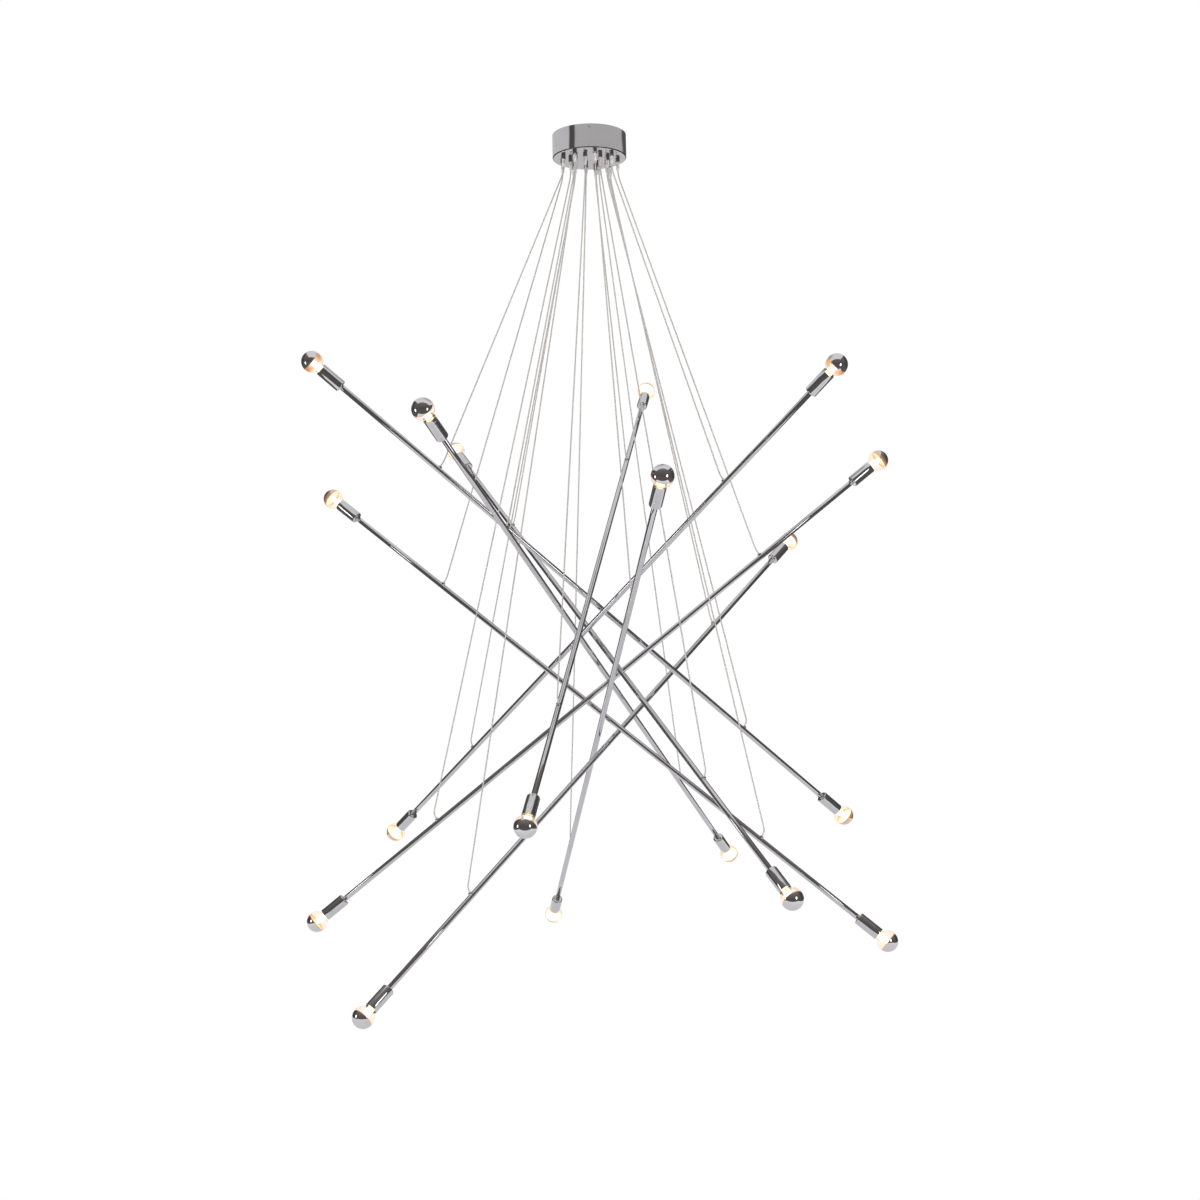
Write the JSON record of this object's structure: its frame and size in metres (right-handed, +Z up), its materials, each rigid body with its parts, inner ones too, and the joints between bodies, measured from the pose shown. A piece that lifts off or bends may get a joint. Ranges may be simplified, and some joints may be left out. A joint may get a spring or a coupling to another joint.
{
  "type": "sputnik chandelier",
  "caption": "Ceiling light of crossing straight chrome tubes hung on thin cords from a drum canopy, with a small mirrored-crown globe lamp in a chrome cup at each tube end.",
  "frame": {"origin": "middle of the ceiling bracket's top face, which lies against the ceiling", "axes": "+Z up into the ceiling, the bracket's strap and its two screw slots lie along Y, and the light is seen from the -Y side with +X to the right"},
  "size_m": [1.313, 1.2924, 1.8942],
  "materials": {
    "chrome_canopy": "polished",
    "chrome_tube": "polished",
    "chrome_cups": "polished",
    "chrome_fittings": "polished",
    "zinc_steel": "zinc plated",
    "white_nylon": "moulded",
    "black_bakelite": "moulded",
    "clear_plastic": "clear moulded",
    "clear_cord": "clear sheath over tinned strands",
    "lamp_glass": "clear with a mirrored crown"
  },
  "bodies": {
    "canopy": {"canopy_cup": "chrome_canopy", "ceiling_bracket": "zinc_steel", "canopy_screws": "chrome_fittings", "terminal_block": "white_nylon", "cord_glands": "chrome_fittings", "cord_grips": "clear_plastic"},
    "hanging_tube_1": {"rod_1": "chrome_tube", "sleeves_1": "chrome_cups", "lampholders_1": "black_bakelite", "cords_1": "clear_cord"},
    "hanging_tube_2": {"rod_2": "chrome_tube", "sleeves_2": "chrome_cups", "lampholders_2": "black_bakelite", "cords_2": "clear_cord"},
    "hanging_tube_3": {"rod_3": "chrome_tube", "sleeves_3": "chrome_cups", "lampholders_3": "black_bakelite", "cords_3": "clear_cord"},
    "hanging_tube_4": {"rod_4": "chrome_tube", "sleeves_4": "chrome_cups", "lampholders_4": "black_bakelite", "cords_4": "clear_cord"},
    "hanging_tube_5": {"rod_5": "chrome_tube", "sleeves_5": "chrome_cups", "lampholders_5": "black_bakelite", "cords_5": "clear_cord"},
    "hanging_tube_6": {"rod_6": "chrome_tube", "sleeves_6": "chrome_cups", "lampholders_6": "black_bakelite", "cords_6": "clear_cord"},
    "hanging_tube_7": {"rod_7": "chrome_tube", "sleeves_7": "chrome_cups", "lampholders_7": "black_bakelite", "cords_7": "clear_cord"},
    "hanging_tube_8": {"rod_8": "chrome_tube", "sleeves_8": "chrome_cups", "lampholders_8": "black_bakelite", "cords_8": "clear_cord"},
    "hanging_tube_9": {"rod_9": "chrome_tube", "sleeves_9": "chrome_cups", "lampholders_9": "black_bakelite", "cords_9": "clear_cord"},
    "lamp_1_high": {"bulb_1_high": "lamp_glass"},
    "lamp_1_low": {"bulb_1_low": "lamp_glass"},
    "lamp_2_high": {"bulb_2_high": "lamp_glass"},
    "lamp_2_low": {"bulb_2_low": "lamp_glass"},
    "lamp_3_high": {"bulb_3_high": "lamp_glass"},
    "lamp_3_low": {"bulb_3_low": "lamp_glass"},
    "lamp_4_high": {"bulb_4_high": "lamp_glass"},
    "lamp_4_low": {"bulb_4_low": "lamp_glass"},
    "lamp_5_high": {"bulb_5_high": "lamp_glass"},
    "lamp_5_low": {"bulb_5_low": "lamp_glass"},
    "lamp_6_high": {"bulb_6_high": "lamp_glass"},
    "lamp_6_low": {"bulb_6_low": "lamp_glass"},
    "lamp_7_high": {"bulb_7_high": "lamp_glass"},
    "lamp_7_low": {"bulb_7_low": "lamp_glass"},
    "lamp_8_high": {"bulb_8_high": "lamp_glass"},
    "lamp_8_low": {"bulb_8_low": "lamp_glass"},
    "lamp_9_high": {"bulb_9_high": "lamp_glass"},
    "lamp_9_low": {"bulb_9_low": "lamp_glass"}
  },
  "joints": [
    {"name": "sway_1", "type": "hinge", "parent": "canopy", "child": "hanging_tube_1", "pos_m": [0, 0, -0.077], "axis": [0.2164, 0.9763, 0], "range_deg": [-0.5, 0.5]},
    {"name": "sway_2", "type": "hinge", "parent": "canopy", "child": "hanging_tube_2", "pos_m": [0, 0, -0.077], "axis": [0.9171, 0.3987, 0], "range_deg": [-0.5, 0.5]},
    {"name": "sway_3", "type": "hinge", "parent": "canopy", "child": "hanging_tube_3", "pos_m": [0, 0, -0.077], "axis": [0.7771, -0.6293, 0], "range_deg": [-0.5, 0.5]},
    {"name": "sway_4", "type": "hinge", "parent": "canopy", "child": "hanging_tube_4", "pos_m": [0, 0, -0.077], "axis": [0.5664, -0.8241, 0], "range_deg": [-0.5, 0.5]},
    {"name": "sway_5", "type": "hinge", "parent": "canopy", "child": "hanging_tube_5", "pos_m": [0, 0, -0.077], "axis": [-0.5075, -0.8616, 0], "range_deg": [-0.5, 0.5]},
    {"name": "sway_6", "type": "hinge", "parent": "canopy", "child": "hanging_tube_6", "pos_m": [0, 0, -0.077], "axis": [0.9976, 0.0698, 0], "range_deg": [-0.5, 0.5]},
    {"name": "sway_7", "type": "hinge", "parent": "canopy", "child": "hanging_tube_7", "pos_m": [0, 0, -0.077], "axis": [0.9563, -0.2924, 0], "range_deg": [-0.5, 0.5]},
    {"name": "sway_8", "type": "hinge", "parent": "canopy", "child": "hanging_tube_8", "pos_m": [0, 0, -0.077], "axis": [0.1994, -0.9799, 0], "range_deg": [-0.5, 0.5]},
    {"name": "sway_9", "type": "hinge", "parent": "canopy", "child": "hanging_tube_9", "pos_m": [0, 0, -0.077], "axis": [-0.7431, -0.6691, 0], "range_deg": [-0.5, 0.5]},
    {"name": "unscrew_1_high", "type": "slide", "parent": "hanging_tube_1", "child": "lamp_1_high", "axis": [0.1696, 0.7651, 0.6211], "range_m": [0, 0.03]},
    {"name": "unscrew_1_low", "type": "slide", "parent": "hanging_tube_1", "child": "lamp_1_low", "axis": [-0.1696, -0.7651, -0.6211], "range_m": [0, 0.03]},
    {"name": "unscrew_2_high", "type": "slide", "parent": "hanging_tube_2", "child": "lamp_2_high", "axis": [-0.7177, -0.3121, 0.6225], "range_m": [0, 0.03]},
    {"name": "unscrew_2_low", "type": "slide", "parent": "hanging_tube_2", "child": "lamp_2_low", "axis": [0.7177, 0.3121, -0.6225], "range_m": [0, 0.03]},
    {"name": "unscrew_3_high", "type": "slide", "parent": "hanging_tube_3", "child": "lamp_3_high", "axis": [0.6124, -0.4959, 0.6157], "range_m": [0, 0.03]},
    {"name": "unscrew_3_low", "type": "slide", "parent": "hanging_tube_3", "child": "lamp_3_low", "axis": [-0.6124, 0.4959, -0.6157], "range_m": [0, 0.03]},
    {"name": "unscrew_4_high", "type": "slide", "parent": "hanging_tube_4", "child": "lamp_4_high", "axis": [-0.4451, 0.6476, 0.6184], "range_m": [0, 0.03]},
    {"name": "unscrew_4_low", "type": "slide", "parent": "hanging_tube_4", "child": "lamp_4_low", "axis": [0.4451, -0.6476, -0.6184], "range_m": [0, 0.03]},
    {"name": "unscrew_5_high", "type": "slide", "parent": "hanging_tube_5", "child": "lamp_5_high", "axis": [-0.4027, -0.6836, 0.6088], "range_m": [0, 0.03]},
    {"name": "unscrew_5_low", "type": "slide", "parent": "hanging_tube_5", "child": "lamp_5_low", "axis": [0.4027, 0.6836, -0.6088], "range_m": [0, 0.03]},
    {"name": "unscrew_6_high", "type": "slide", "parent": "hanging_tube_6", "child": "lamp_6_high", "axis": [0.7818, 0.0547, 0.6211], "range_m": [0, 0.03]},
    {"name": "unscrew_6_low", "type": "slide", "parent": "hanging_tube_6", "child": "lamp_6_low", "axis": [-0.7818, -0.0547, -0.6211], "range_m": [0, 0.03]},
    {"name": "unscrew_7_high", "type": "slide", "parent": "hanging_tube_7", "child": "lamp_7_high", "axis": [-0.7546, 0.2307, 0.6143], "range_m": [0, 0.03]},
    {"name": "unscrew_7_low", "type": "slide", "parent": "hanging_tube_7", "child": "lamp_7_low", "axis": [0.7546, -0.2307, -0.6143], "range_m": [0, 0.03]},
    {"name": "unscrew_8_high", "type": "slide", "parent": "hanging_tube_8", "child": "lamp_8_high", "axis": [0.1565, -0.769, 0.6198], "range_m": [0, 0.03]},
    {"name": "unscrew_8_low", "type": "slide", "parent": "hanging_tube_8", "child": "lamp_8_low", "axis": [-0.1565, 0.769, -0.6198], "range_m": [0, 0.03]},
    {"name": "unscrew_9_high", "type": "slide", "parent": "hanging_tube_9", "child": "lamp_9_high", "axis": [0.5896, 0.5309, 0.6088], "range_m": [0, 0.03]},
    {"name": "unscrew_9_low", "type": "slide", "parent": "hanging_tube_9", "child": "lamp_9_low", "axis": [-0.5896, -0.5309, -0.6088], "range_m": [0, 0.03]}
  ]
}
